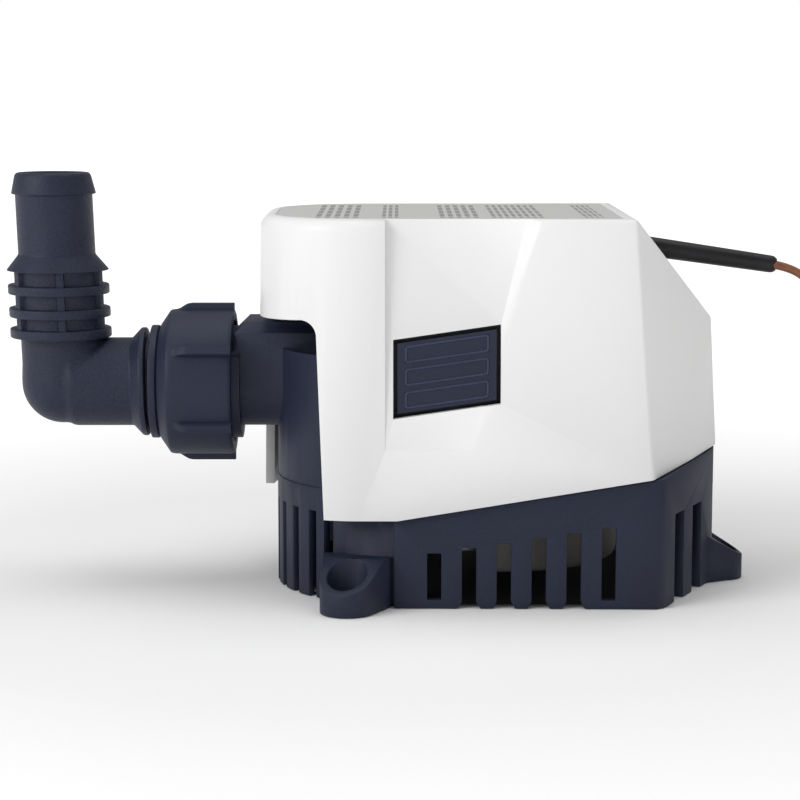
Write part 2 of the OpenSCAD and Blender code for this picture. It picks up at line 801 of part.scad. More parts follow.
module spring_shape() {
    translate([button_x, -button_face + 4, button_z]) rotate([-90, 0, 0])
        ring_stack(2.4, 0.8, 14);
}

module spring_front() { color(steel) spring_shape(); }
module spring_back() { color(steel) mirror([0, 1, 0]) spring_shape(); }

// ---------------------------------------------------------------- outlet fittings

module port_gasket() {
    color(black) translate([0, 0, outlet_z]) difference() {
        rod_x(12.6, seat_x - 1.55, seat_x);
        rod_x(bore_r, seat_x - 3, seat_x + 1);
    }
}

module union_nut() {
    color(navy) translate([0, 0, outlet_z]) difference() {
        union() {
            rod_x(nut_r, nut_left, nut_right);
            translate([nut_left - 3, 0, 0]) rotate([0, 90, 0])
                cylinder(r1 = 14, r2 = nut_r, h = 3);
            rod_x(14, nut_lip, nut_left - 2.9);
            for (i = [0:5]) rotate([60 * i, 0, 0]) nut_wing();
        }
        rod_x(14.4, collar_x - 1.1, 0);
        rod_x(12.1, nut_lip - 1, 0);
        translate([nut_lip + 0.9, 0, 0]) rotate([0, 90, 0]) tube(15, 13.7, 0, 0.4);
    }
}

module nut_wing() {
    translate([0, -1.15, 0]) rotate([90, 0, 0]) mirror([0, 0, 1]) linear_extrude(2.3)
        polygon([[nut_left - 0.4, 16], [nut_left + 0.8, nut_r], [nut_left + 5.4, 19.6],
                 [nut_right, 19.6], [nut_right, 16]]);
}

module slip_ring() {
    color([0.8, 0.8, 0.78]) translate([0, 0, outlet_z]) difference() {
        rod_x(13.9, collar_x - 1, collar_x);
        rod_x(11.05, -50, -40);
    }
}

// Hose elbow: horizontal leg along X, barb standing up at elbow_x.
module elbow() {
    r = small_hose_r;
    color(navy) difference() {
        union() {
            translate([0, 0, outlet_z]) rotate([0, 90, 0]) rotate_extrude()
                polygon([[0, elbow_x + 2], [r, elbow_x + 2], [r, -67.9], [11, -67.3], [11, -53.9],
                         [13.5, -51.7], [13.5, -50.2], [11, -50.2], [11, collar_x],
                         [13.8, collar_x], [13.8, collar_x + 2.3], [0, collar_x + 2.3]]);
            translate([elbow_x, 0, outlet_z]) sphere(r + 0.6, $fn = 96);
            translate([elbow_x, 0, outlet_z]) rotate([0, -barb_lean, 0]) barb_outside(r);
        }
        translate([0, 0, outlet_z]) rod_x(bore_r, elbow_x + 2, 0);
        translate([elbow_x, 0, outlet_z]) sphere(bore_r + 0.5);
        translate([elbow_x, 0, outlet_z]) rotate([0, -barb_lean, 0])
            translate([0, 0, 2]) cylinder(r = bore_r - 0.3, h = 60);
    }
}

// Barb profile turned about Z: three rings for the large hose, a skirt, the small barb.
module barb_outside(r) {
    R = large_hose_r;
    rings = [for (z = [10.6, 16.3, 22]) each [[10.8, z], [R - 0.6, z], [R, z + 0.6],
             [R, z + 1.9], [R - 0.6, z + 2.5], [10.8, z + 2.5]]];
    rotate_extrude() polygon(concat([[0, 2], [r, 2], [r, 9.4], [10.8, 9.8]], rings,
        [[10.8, 28], [R + 0.15, 28], [r, 31.6], [r, 46.6], [10.5, 47], [9.4, 51.8],
         [0, 51.8]]));
    for (i = [0:5]) rotate(60 * i - 100) translate([9, -1, 10.7]) cube([2.9, 2, 17.4]);
}

// ---------------------------------------------------------------- supply lead

module lead_gland() {
    color(black) translate(sleeve_start) rotate([0, gland_tilt, 0]) difference() {
        rod_x(3.9, -0.6, 3);
        rod_x(2.6, -5, 20);
    }
}

// Sleeve over the wires, tapering and drooping towards its free end.
function sleeve_points() = [for (t = [0:0.125:1])
    let (s = t * (sleeve_end[0] - sleeve_start[0]))
    [sleeve_start[0] + s, lead_y, sleeve_start[2] - tan(gland_tilt) * s
     - (sleeve_start[2] - sleeve_end[2] - tan(gland_tilt) * (sleeve_end[0] - sleeve_start[0]))
     * t * t]];

module lead_sleeve() {
    color(black) sweep(sleeve_points(), [for (i = [0:8]) 2.55 - 0.05 * i], 12);
}

function unit(v) = v / norm(v);
function tangent(p, i) = unit(p[min(i + 1, len(p) - 1)] - p[max(i - 1, 0)]);
function ring_point(c, t, r, a) =
    let (u = unit(cross(t, [0.05, 1, 0.02])), v = cross(t, u)) c + r * (cos(a) * u + sin(a) * v);

// A closed tube along points, with a radius at each of them.
module sweep(points, radii, sides) {
    n = len(points);
    rings = [for (i = [0:n - 1]) for (k = [0:sides - 1])
        ring_point(points[i], tangent(points, i), radii[i], 360 * k / sides)];
    walls = [for (i = [0:n - 2]) for (k = [0:sides - 1])
        let (a = i * sides + k, b = i * sides + (k + 1) % sides) [a, b, b + sides, a + sides]];
    polyhedron(rings, concat([[for (k = [0:sides - 1]) sides - 1 - k]], walls,
                             [[for (k = [0:sides - 1]) (n - 1) * sides + k]]));
}

module lead_tube() {
    color([0.4, 0.25, 0.17]) sweep(lead_route, [for (p = lead_route) lead_d / 2], 8);
}

module lead_coil() {
    color([0.4, 0.25, 0.17]) translate([coil_x, coil_y, 0]) rotate_extrude($fn = 48)
        translate([coil_turn_r, 0]) polygon([[-6, 0], [6, 0], [6, 6.4], [4.4, 8.4],
                                             [-4.4, 8.4], [-6, 6.4]]);
}

strainer_base();
pump_body();
top_shell();
top_label();
motor_cover();
cover_o_ring();
cover_screws();
deck_screws();
intake_plate();
shaft_seal();
lower_bearing();
upper_bearing();
motor_can();
magnets();
motor_end_cap();
brushes();
brush_springs();
motor_terminals();
motor_shaft();
armature_core();
windings();
commutator();
impeller();
impeller_clip();
float_frame();
frame_screws();
float_pin();
float_body();
float_cap();
float_magnet();
reed_switch();
switch_board();
power_switch();
inner_wires();
wire_grommet();
button_front();
button_back();
spring_front();
spring_back();
port_gasket();
union_nut();
slip_ring();
elbow();
lead_gland();
lead_sleeve();
lead_tube();
lead_coil();
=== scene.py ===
"""Looks for the bilge pump: finishes for its CAD pieces, and modelled pieces where a
turned, swept or wound shape shows more than the CAD solid does."""
import json
import math

import bmesh
import bpy
import numpy as np
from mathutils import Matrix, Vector


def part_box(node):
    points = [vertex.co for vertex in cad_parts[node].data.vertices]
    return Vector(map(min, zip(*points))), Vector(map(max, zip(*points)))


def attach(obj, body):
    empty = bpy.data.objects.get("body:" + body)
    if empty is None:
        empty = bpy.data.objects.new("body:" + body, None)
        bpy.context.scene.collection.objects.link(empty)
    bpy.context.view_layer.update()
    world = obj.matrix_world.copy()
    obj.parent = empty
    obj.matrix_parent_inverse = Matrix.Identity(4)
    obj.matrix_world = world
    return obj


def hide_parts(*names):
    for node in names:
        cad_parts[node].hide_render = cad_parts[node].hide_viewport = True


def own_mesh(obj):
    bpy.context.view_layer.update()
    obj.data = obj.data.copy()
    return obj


MM = 0.001
PORT_HEIGHT = 49.5
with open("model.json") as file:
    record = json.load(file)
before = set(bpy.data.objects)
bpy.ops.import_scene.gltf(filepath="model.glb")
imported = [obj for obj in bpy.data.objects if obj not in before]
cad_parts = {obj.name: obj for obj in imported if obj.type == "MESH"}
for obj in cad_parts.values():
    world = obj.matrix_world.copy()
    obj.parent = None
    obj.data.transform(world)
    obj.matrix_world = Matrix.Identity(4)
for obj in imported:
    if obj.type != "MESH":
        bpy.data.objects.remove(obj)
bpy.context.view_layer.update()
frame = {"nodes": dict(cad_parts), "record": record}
scene = bpy.context.scene


# ---------------------------------------------------------------- camera

def aim(thing, target):
    """Turns a camera or light to face target."""
    look = Vector(target) - thing.location
    thing.rotation_euler = look.to_track_quat("-Z", "Y").to_euler()


def make_camera():
    data = bpy.data.cameras.new("camera")
    data.lens = 104.5
    data.sensor_width = 36
    camera = bpy.data.objects.new("camera", data)
    scene.collection.objects.link(camera)
    camera.location = (0.0124, -0.575, 0.125)
    aim(camera, (0.0124, 0, 0.04475))
    scene.camera = camera


make_camera()


# ---------------------------------------------------------------- mesh helpers

def new_piece(name, points, faces):
    """An object at the origin from an array of points in metres and an array of faces."""
    mesh = bpy.data.meshes.new(name)
    mesh.from_pydata(points.tolist(), [], faces.tolist())
    mesh.validate()
    piece = bpy.data.objects.new(name, mesh)
    scene.collection.objects.link(piece)
    face_outwards(mesh)
    return piece


def face_outwards(mesh):
    work = bmesh.new()
    work.from_mesh(mesh)
    bmesh.ops.remove_doubles(work, verts=work.verts, dist=1e-7)
    bmesh.ops.recalc_face_normals(work, faces=work.faces)
    work.to_mesh(mesh)
    work.free()


def quads(rows, columns, close_rows, close_columns):
    """Faces of a grid of rows x columns points, joined end to start where it closes."""
    r = np.arange(rows if close_rows else rows - 1)
    c = np.arange(columns if close_columns else columns - 1)
    r, c = np.meshgrid(r, c, indexing="ij")
    r2, c2 = (r + 1) % rows, (c + 1) % columns
    corners = [r * columns + c, r * columns + c2, r2 * columns + c2, r2 * columns + c]
    return np.stack(corners, -1).reshape(-1, 4)


def from_grid(name, grid, close_rows=False):
    """A piece from a grid of points in millimetres, rows x columns x 3. Each row is a
    closed ring; close_rows joins the last ring to the first."""
    rows, columns = grid.shape[:2]
    faces = quads(rows, columns, close_rows, True)
    return new_piece(name, grid.reshape(-1, 3) * MM, faces)


def shade(piece, angle=32):
    """Smooth shading, broken where two faces meet at more than angle degrees."""
    piece.data.shade_smooth()
    piece.data.set_sharp_from_angle(angle=math.radians(angle))
    return piece


def eased(profile, radius, steps=4):
    """Rounds each corner of a line of points with a parabola whose legs are radius long,
    or 0.45 of the shorter neighbour. Both end points stay."""
    p = np.asarray(profile, float)
    before, here, after = p[:-2], p[1:-1], p[2:]
    reach_in = np.linalg.norm(here - before, axis=1)
    reach_out = np.linalg.norm(after - here, axis=1)
    legs = np.minimum(radius, 0.45 * np.minimum(reach_in, reach_out))[:, None]
    a = here + (before - here) / reach_in[:, None] * legs
    b = here + (after - here) / reach_out[:, None] * legs
    t = np.linspace(0, 1, steps)[None, :, None]
    arcs = (1 - t) ** 2 * a[:, None] + 2 * t * (1 - t) * here[:, None] + t**2 * b[:, None]
    return np.vstack([p[:1], arcs.reshape(-1, p.shape[1]), p[-1:]])


def circle_angles(sides):
    return np.linspace(0, 2 * np.pi, sides, endpoint=False)


def turned_about_x(profile, angles):
    """Each profile point (x, r) goes round the X axis: y = r sin, z = -r cos."""
    x, r = profile[:, :1], profile[:, 1:2]
    return np.stack([x + 0 * angles, r * np.sin(angles), -r * np.cos(angles)], -1)


def unit(v):
    return v / np.linalg.norm(v, axis=-1, keepdims=True)


def along(path):
    """Unit tangent, level side vector and the third axis at each point of a path."""
    tangent = unit(np.gradient(path, axis=0))
    side = unit(np.stack([tangent[:, 1], -tangent[:, 0], 0 * tangent[:, 0]], -1))
    return tangent, side, np.cross(side, tangent)


def tube(path, radii, sides):
    """Circles of the given radii square to a path: centre + r cos(a) side + r sin(a) up.
    The ends are closed by rings that shrink to a small dot."""
    _, side, up = along(path)
    a = circle_angles(sides)[None, :, None]
    ring = np.cos(a) * side[:, None] + np.sin(a) * up[:, None]
    grid = path[:, None] + np.asarray(radii)[:, None, None] * ring
    return np.concatenate([grid[:1] * 0 + path[0], grid, grid[:1] * 0 + path[-1]])


def smooth_step(x, low, high):
    t = np.clip((x - low) / (high - low), 0, 1)
    return t * t * (3 - 2 * t)


def blended_min(a, b, width):
    """The smaller of a and b, with a fillet of the given width where they are equal."""
    h = np.clip(0.5 + 0.5 * (b - a) / width, 0, 1)
    return b + (a - b) * h - width * h * (1 - h)


def softened(node, width, split):
    """A copy of a CAD piece: doubles merged, flat triangles joined, sharp edges rounded.
    split cuts the joined faces into triangles again, for faces with windows in them."""
    name = node + "_moulded"
    mesh = frame["nodes"][node].data.copy()
    mesh.name = name
    work = bmesh.new()
    work.from_mesh(mesh)
    bmesh.ops.remove_doubles(work, verts=work.verts, dist=2e-6)
    bmesh.ops.dissolve_limit(work, angle_limit=math.radians(0.5), verts=work.verts,
                             edges=work.edges, delimit=set())
    if split:
        bmesh.ops.triangulate(work, faces=work.faces, ngon_method="BEAUTY")
    work.to_mesh(mesh)
    work.free()
    mesh.shade_smooth()
    piece = bpy.data.objects.new(name, mesh)
    scene.collection.objects.link(piece)
    edge = piece.modifiers.new("rounded edges", "BEVEL")
    edge.width = width * MM
    edge.segments = 2
    edge.limit_method = "ANGLE"
    edge.angle_limit = math.radians(38)
    edge.use_clamp_overlap = True
    edge.harden_normals = True
    edge.miter_outer = "MITER_ARC"
    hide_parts(node)
    return piece


# ---------------------------------------------------------------- finishes

class Value:
    """A socket in a finish. Sums written with it add the Math nodes they need."""

    def __init__(self, finish, socket):
        self.finish = finish
        self.socket = socket

    def maths(self, operation, *values):
        sockets = dict(enumerate((self,) + values))
        return self.finish.node("Math", {"operation": operation}, sockets)

    def __add__(self, other):
        return self.maths("ADD", other)

    __radd__ = __add__

    def __mul__(self, other):
        return self.maths("MULTIPLY", other)

    __rmul__ = __mul__

    def __sub__(self, other):
        return self.maths("SUBTRACT", other)

    def __rsub__(self, other):
        return (self * -1) + other

    def above(self, limit):
        return self.maths("GREATER_THAN", limit)

    def wrapped(self, length):
        return self.maths("FLOORED_MODULO", length)

    def between(self, low, high):
        return self.above(low) * (1 - self.above(high))

    def ramp(self, low, high):
        """0 below low, 1 above high."""
        settings = {"clamp": True}
        sockets = {"Value": self, "From Min": low, "From Max": high}
        return self.finish.node("MapRange", settings, sockets)


class Finish:
    """A material made of one Principled shader and the nodes that vary it."""

    def __init__(self, name):
        self.material = bpy.data.materials.new(name)
        self.material.use_nodes = True
        self.tree = self.material.node_tree
        self.tree.nodes.clear()
        self.place = self.node("TexCoord", {}, {}, "Object")

    def node(self, kind, settings, sockets, output=0):
        made = self.tree.nodes.new("ShaderNode" + kind)
        for key, value in settings.items():
            if key == "stops":
                self.set_stops(made.color_ramp, value)
            else:
                setattr(made, key, value)
        for key, value in sockets.items():
            if isinstance(value, Value):
                self.tree.links.new(value.socket, made.inputs[key])
            else:
                made.inputs[key].default_value = value
        return Value(self, made.outputs[output])

    def set_stops(self, ramp, stops):
        while len(ramp.elements) < len(stops):
            ramp.elements.new(0.5)
        for element, (position, colour) in zip(ramp.elements, stops):
            element.position = position
            element.color = (*colour, 1)

    def axes(self):
        parts = {"Vector": self.place}
        return [self.node("SeparateXYZ", {}, parts, i) for i in range(3)]

    def noise(self, per_metre, detail=2.0, stretch=(1, 1, 1), rough=0.5):
        """Smooth random values, about per_metre lumps to a metre, longer where stretch < 1."""
        place = self.node("Mapping", {}, {"Vector": self.place, "Scale": stretch})
        sockets = {"Vector": place, "Scale": per_metre, "Detail": detail, "Roughness": rough}
        return self.node("TexNoise", {}, sockets)

    def mixed(self, factor, first, second):
        settings = {"data_type": "RGBA"}
        sockets = {0: factor, 6: self.colour(first), 7: self.colour(second)}
        return self.node("Mix", settings, sockets, 2)

    def colour(self, value):
        return value if isinstance(value, Value) else (*value, 1)

    def bump(self, height, depth_mm):
        sockets = {"Height": height, "Distance": depth_mm * MM, "Strength": 1.0}
        return self.node("Bump", {}, sockets)

    def done(self, **sockets):
        named = {key.replace("_", " "): value for key, value in sockets.items()}
        named["Base Color"] = self.colour(named["Base Color"])
        shader = self.node("BsdfPrincipled", {}, named)
        out = self.tree.nodes.new("ShaderNodeOutputMaterial")
        self.tree.links.new(shader.socket, out.inputs["Surface"])
        return self.material


def shades(colour, amount):
    """A darker and a lighter version of a colour."""
    return [tuple(c * k for c in colour) for k in (1 - amount, 1 + amount)]


def moulded_navy(name, colour, grain_mm, roughness):
    """Glass-filled plastic: a fine spark-eroded grain, cloudy shade and duller patches."""
    f = Finish(name)
    cloud = f.noise(60, 3)
    speckle = f.noise(2600, 1.5)
    grain = f.noise(1500, 2)
    dark, light = shades(colour, 0.16)
    base = f.mixed(speckle.ramp(0.3, 0.7), dark, light)
    base = f.mixed(cloud.ramp(0.35, 0.75) * 0.35, base, shades(colour, 0.3)[1])
    rough = roughness + 0.1 * cloud + 0.08 * speckle
    return f.done(Base_Color=base, Roughness=rough, Specular_IOR_Level=0.32,
                  Normal=f.bump(grain, grain_mm))


def coarse_navy():
    """The elbow's own finish: a mottled grain of lumps about half a millimetre across."""
    f = Finish("grained navy plastic")
    lumps = f.noise(1500, 2.5, rough=0.65)
    fine = f.noise(3200, 1)
    cloud = f.noise(45, 3)
    dark, light = shades(NAVY, 0.28)
    base = f.mixed(lumps.ramp(0.3, 0.7), dark, light)
    base = f.mixed(cloud.ramp(0.35, 0.75) * 0.3, base, (0.021, 0.024, 0.044))
    rough = 0.34 + 0.2 * lumps + 0.08 * fine
    return f.done(Base_Color=base, Roughness=rough, Specular_IOR_Level=0.3,
                  Normal=f.bump(lumps * 0.75 + fine * 0.25, 0.2))


def white_shell():
    """Satin white plastic with a barely visible flow pattern and orange peel."""
    f = Finish("white shell plastic")
    flow = f.noise(22, 3, (1, 1, 0.35))
    peel = f.noise(520, 2)
    fine = f.noise(2400, 1)
    base = f.mixed(flow.ramp(0.3, 0.7), (0.8, 0.8, 0.795), (0.845, 0.845, 0.845))
    rough = 0.34 + 0.1 * flow + 0.05 * fine
    return f.done(Base_Color=base, Roughness=rough, Specular_IOR_Level=0.4,
                  Normal=f.bump(peel * 0.7 + fine * 0.3, 0.03))


def label_film():
    """Printed grey film: blocks of short plain bars in a darker grey run across it."""
    f = Finish("label film")
    x, y, _ = f.axes()
    weave = f.noise(900, 2)
    blocks = [(-0.0085, 0.0035, 2.2), (0.0075, 0.012, 1.5), (0.021, 0.031, 2.0),
              (0.0335, 0.0465, 1.6), (0.0555, 0.0605, 1.3)]
    printed = 0
    for low, high, pitch in blocks:
        row = (x - low).wrapped(pitch * MM).ramp(0.42 * pitch * MM, 0.46 * pitch * MM)
        printed = row * x.between(low, high) + printed
    gaps = (y + 0.31 * MM).wrapped(0.0127).above(0.0021)
    inside = y.between(-0.029, 0.024)
    printed = printed * gaps * inside
    ground = f.mixed(weave.ramp(0.3, 0.7), (0.55, 0.555, 0.53), (0.61, 0.615, 0.59))
    base = f.mixed(printed * 0.8, ground, (0.19, 0.19, 0.19))
    return f.done(Base_Color=base, Roughness=0.42 + 0.12 * weave,
                  Normal=f.bump(weave, 0.02))


def soft_rubber(name, colour, roughness):
    """Dull rubber with fine pores and a dusty bloom."""
    f = Finish(name)
    bloom = f.noise(180, 4)
    pores = f.noise(2200, 2)
    dark, light = shades(colour, 0.3)
    return f.done(Base_Color=f.mixed(bloom.ramp(0.3, 0.75), dark, light),
                  Roughness=roughness + 0.12 * bloom, Specular_IOR_Level=0.28,
                  Normal=f.bump(pores, 0.03))


def bright_metal(name, colour, roughness, stretch):
    """Metal with fine tool marks that run along one direction, and faint stains."""
    f = Finish(name)
    marks = f.noise(900, 3, stretch)
    stain = f.noise(140, 3)
    dark, light = shades(colour, 0.12)
    return f.done(Base_Color=f.mixed(stain.ramp(0.3, 0.75), dark, light), Metallic=1.0,
                  Roughness=roughness + 0.16 * marks, Normal=f.bump(marks, 0.01))


def porous(name, colour, metallic, roughness):
    """Pressed or sintered material: dark pores in a grainy ground."""
    f = Finish(name)
    pores = f.noise(1400, 3)
    pits = pores.ramp(0.38, 0.5)
    dark, light = shades(colour, 0.45)
    return f.done(Base_Color=f.mixed(pits, dark, light), Metallic=metallic,
                  Roughness=roughness + 0.15 * pores, Normal=f.bump(pits, 0.04))


def stacked_sheet():
    """Thin sheets on one another: a fine line at every half millimetre of height."""
    f = Finish("stacked sheet")
    _, _, z = f.axes()
    line = z.wrapped(0.5 * MM).ramp(0.06 * MM, 0.14 * MM)
    rust = f.noise(300, 3)
    base = f.mixed(rust.ramp(0.4, 0.8), (0.16, 0.16, 0.17), (0.2, 0.15, 0.12))
    return f.done(Base_Color=base, Metallic=0.8, Roughness=0.38 + 0.2 * rust,
                  Normal=f.bump(line, 0.08))


def wound_copper():
    """Lacquered copper: strands lie side by side, a third of a millimetre apart."""
    f = Finish("lacquered copper")
    x, _, z = f.axes()
    strand = (x + z).wrapped(0.33 * MM).ramp(0, 0.33 * MM)
    tone = f.noise(240, 2)
    base = f.mixed(tone.ramp(0.3, 0.7), (0.5, 0.19, 0.08), (0.68, 0.3, 0.13))
    height = strand * (1 - strand)
    return f.done(Base_Color=base, Metallic=0.9, Roughness=0.26 + 0.1 * tone,
                  Normal=f.bump(height, 0.2))


def float_plastic():
    """Grey moulded float with faint flow lines, and painted shade that makes it darker towards
    its floor.
    """
    f = Finish("grey float plastic")
    _, _, z = f.axes()
    out_of_painted_shade = z.ramp(0.006, 0.024)
    flow = f.noise(70, 3, (1, 1, 0.3))
    grain = f.noise(1600, 2)
    # painted shade: below 24 mm the float is mixed towards the darker grey, darkest under 6 mm
    base = f.mixed(out_of_painted_shade, (0.13, 0.125, 0.12), (0.3, 0.29, 0.27))
    base = f.mixed(flow.ramp(0.4, 0.8) * 0.3, base, (0.42, 0.4, 0.37))
    return f.done(Base_Color=base, Roughness=0.42 + 0.12 * flow,
                  Normal=f.bump(grain, 0.03))


def green_board():
    """Solder mask over square tracks; the tracks are a lighter green."""
    f = Finish("circuit board")
    x, y, _ = f.axes()
    track = x.wrapped(2.54 * MM).between(0.6 * MM, 1.5 * MM)
    cross = y.wrapped(2.54 * MM).between(0.9 * MM, 1.4 * MM)
    lines = (track + cross).ramp(0, 1)
    weave = f.noise(1500, 2)
    base = f.mixed(lines, (0.012, 0.09, 0.035), (0.025, 0.16, 0.06))
    return f.done(Base_Color=base, Roughness=0.3 + 0.15 * weave,
                  Normal=f.bump(lines, 0.04))


def wire_insulation():
    """Brown insulation, a little shinier where it has been handled."""
    f = Finish("brown wire insulation")
    tone = f.noise(160, 3)
    fine = f.noise(1900, 2)
    base = f.mixed(tone.ramp(0.3, 0.7), (0.17, 0.058, 0.024), (0.28, 0.1, 0.045))
    return f.done(Base_Color=base, Roughness=0.34 + 0.15 * tone,
                  Normal=f.bump(fine, 0.02))


NAVY = (0.0145, 0.0185, 0.041)
FINISHES = {
    "navy_plastic": moulded_navy("navy plastic", NAVY, 0.05, 0.44),
    "white_shell": white_shell(),
    "label_grey": label_film(),
    "seal_rubber": soft_rubber("seal rubber", (0.012, 0.012, 0.013), 0.55),
    "sleeve_black": soft_rubber("sleeve rubber", (0.012, 0.012, 0.014), 0.32),
    "stainless": bright_metal("stainless", (0.62, 0.62, 0.63), 0.22, (1, 1, 0.1)),
    "can_steel": bright_metal("plated can", (0.5, 0.51, 0.53), 0.28, (1, 1, 0.08)),
    "sintered_bronze": porous("sintered bronze", (0.42, 0.28, 0.13), 0.9, 0.36),
    "terminal_brass": bright_metal("terminal brass", (0.6, 0.44, 0.17), 0.24, (0.1, 1, 1)),
    "ferrite": porous("ferrite", (0.045, 0.045, 0.05), 0.0, 0.5),
    "black_plastic": moulded_navy("black plastic", (0.012, 0.012, 0.013), 0.04, 0.4),
    "carbon": porous("carbon", (0.022, 0.022, 0.022), 0.2, 0.46),
    "core_steel": stacked_sheet(),
    "copper": wound_copper(),
    "natural_plastic": moulded_navy("natural plastic", (0.62, 0.62, 0.54), 0.03, 0.38),
    "float_grey": float_plastic(),
    "glass_capsule": moulded_navy("glass capsule", (0.3, 0.42, 0.38), 0.005, 0.12),
    "board_green": green_board(),
    "wire_brown": wire_insulation(),
}


def dress(piece, slot, body, finish=None):
    """Gives a new piece its finish, the slot's own unless one is given, and the body it rides
    on.
    """
    piece.data.materials.clear()
    piece.data.materials.append(finish or FINISHES[slot])
    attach(piece, body)
    return piece


def dress_cad_nodes():
    """Every CAD piece gets the finish of its slot; its mesh is left as it is."""
    for entry in frame["record"]["subparts"]:
        node = frame["nodes"][entry["node"]]
        node.data.materials.clear()
        node.data.materials.append(FINISHES[entry["material_slot"]])


dress_cad_nodes()


# ---------------------------------------------------------------- supply lead

SLEEVE_START = np.array([69.5, 15, 82.96])
SLEEVE_END = np.array([108, 15, 77.4])
GLAND_TILT = math.tan(math.radians(8))
COIL_CENTRE = np.array([154, 22, 0])
WIRE_R = 1.05
TWIST_START = 25
TWIST_LENGTH = 70
COIL_TURNS = 6
COIL_OUTER_R = 26
COIL_STEP = 3.92
COIL_RISE = 4.1
FLOOR_CLEARANCE = 2.15


def spline(points, count):
    """Cubic B-spline through the neighbourhood of the points, held at both ends."""
    p = np.vstack([points[:1]] * 2 + [points] + [points[-1:]] * 2)
    t = np.linspace(0, len(p) - 3 - 1e-9, count)
    i = t.astype(int)
    u = (t - i)[:, None]
    a, b, c, d = p[i], p[i + 1], p[i + 2], p[np.minimum(i + 3, len(p) - 1)]
    return ((1 - u) ** 3 * a + (3 * u**3 - 6 * u**2 + 4) * b
            + (-3 * u**3 + 3 * u**2 + 3 * u + 1) * c + u**3 * d) / 6


def sleeve_line(count):
    """The sleeve's line: straight out along the gland, then a parabola's droop."""
    t = np.linspace(0, 1, count)
    run = SLEEVE_END[0] - SLEEVE_START[0]
    x = SLEEVE_START[0] + t * run
    extra = SLEEVE_START[2] - SLEEVE_END[2] - GLAND_TILT * run
    z = SLEEVE_START[2] - GLAND_TILT * t * run - extra * t * t
    return np.stack([x, 0 * t + SLEEVE_START[1], z], -1)


def hanging_route():
    """From the sleeve's end out of sight, down and onto the floor beside the coil."""
    return np.array([
        [105.6, 15, 77.76], [108.05, 15, 77.38], [111, 15, 76.8], [115, 15, 75],
        [118, 15, 72], [120.5, 15, 67], [122, 15, 61], [123, 15, 54], [123.5, 15, 46],
        [124, 15, 38], [124.3, 14.4, 29], [125, 12.2, 20], [126.6, 8.6, 12],
        [129.2, 4.2, 6.5], [132.9, -0.1, 3.5], [137.9, -4, 2.4], [143.5, -6.5, 2.2],
        [149.8, -7.3, 2.15]])


def coil_route(count):
    """Three turns spiral in on the floor, rise a diameter and three spiral out on top."""
    turns = np.linspace(0, COIL_TURNS, count)
    half = COIL_TURNS / 2
    radius = COIL_OUTER_R - COIL_STEP * np.minimum(turns, COIL_TURNS - turns)
    radius = radius + 2 * (1 - smooth_step(turns, 0, 0.3))
    z = FLOOR_CLEARANCE + COIL_RISE * smooth_step(turns, half - 0.12, half + 0.12)
    a = 2 * np.pi * turns - np.pi / 2
    ring = np.stack([radius * np.cos(a), radius * np.sin(a), z], -1)
    return ring + COIL_CENTRE


def lead_line():
    """The lead's centreline, evenly spaced where it hangs and 24 points to a turn."""
    hanging = spline(hanging_route(), 34)
    coil = coil_route(COIL_TURNS * 24 + 1)
    return np.vstack([hanging[:-2], coil[1:]])


def make_lead(sleeve):
    """Two insulated wires, side by side in view and twisted once every 70 mm beyond it:
    each is a tube round centreline +/- (cos(twist) side + sin(twist) up) * radius."""
    line = lead_line()
    steps = np.linalg.norm(np.diff(line, axis=0), axis=1)
    run = np.concatenate([[0], np.cumsum(steps)])
    length = run[-1]
    fine_run = np.linspace(0, length, 1400)
    fine = np.stack([np.interp(fine_run, run, line[:, i]) for i in range(3)], -1)
    kernel = np.ones(9) / 9
    padded = np.pad(fine, ((4, 4), (0, 0)), "edge")
    fine = np.stack([np.convolve(padded[:, i], kernel, "valid") for i in range(3)], -1)
    _, side, up = along(fine)
    twisted_run = np.maximum(fine_run - TWIST_START, 0)
    twist = (2 * np.pi * twisted_run / TWIST_LENGTH)[:, None]
    offset = WIRE_R * (np.cos(twist) * side + np.sin(twist) * up)
    grids = [tube(fine + sign * offset, 0 * fine_run + WIRE_R, 12) for sign in (1, -1)]
    points = np.concatenate([g.reshape(-1, 3) for g in grids])
    faces = quads(*grids[0].shape[:2], False, True)
    faces = np.concatenate([faces, faces + grids[0].shape[0] * grids[0].shape[1]])
    lead = shade(new_piece("supply_wires", points * MM, faces), 60)
    dress(lead, "wire_brown", "pump")
    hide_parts("lead_tube", "lead_coil")


def make_sleeve():
    """Sleeve over the wires: a tube whose radius falls from 2.6 to 2.18 mm, with a
    rounded free end."""
    line = sleeve_line(60)
    t = np.linspace(0, 1, 60)
    radii = 2.6 - 0.42 * t
    end = np.clip((t - 0.965) / 0.035, 0, 1)
    radii = radii * np.sqrt(1 - 0.45 * end**2)
    sleeve = shade(from_grid("wire_sleeve", tube(line, radii, 32)), 60)
    dress(sleeve, "sleeve_black", "pump")
    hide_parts("lead_sleeve")
    return sleeve


make_lead(make_sleeve())


# ---------------------------------------------------------------- hose elbow

ELBOW = np.array([-71.5, 0, PORT_HEIGHT])
LEAN = math.tan(math.radians(2))
PIVOT = (12.0, 11.1)


def corner_distance(p, level_r, upright_r, ball_r, fillet):
    """Distance-like value of the elbow's corner, below 0 inside: the blended smaller of a
    level cylinder to the right, an upright one above, and a ball where they meet."""
    x, y, z = p[..., 0], p[..., 1], p[..., 2]
    grow = smooth_step(x, 0.8, 3.4)
    level = np.hypot(y, z) - (ball_r + (level_r - ball_r) * grow)
    level = np.where(x > 0, level, np.hypot(level + ball_r, x) - ball_r)
    upright = np.hypot(x, y) - upright_r
    upright = np.where(z > 0, upright, np.hypot(upright + upright_r, z) - upright_r)
    ball = np.sqrt(x * x + y * y + z * z) - ball_r
    return np.minimum(blended_min(level, upright, fillet), ball)


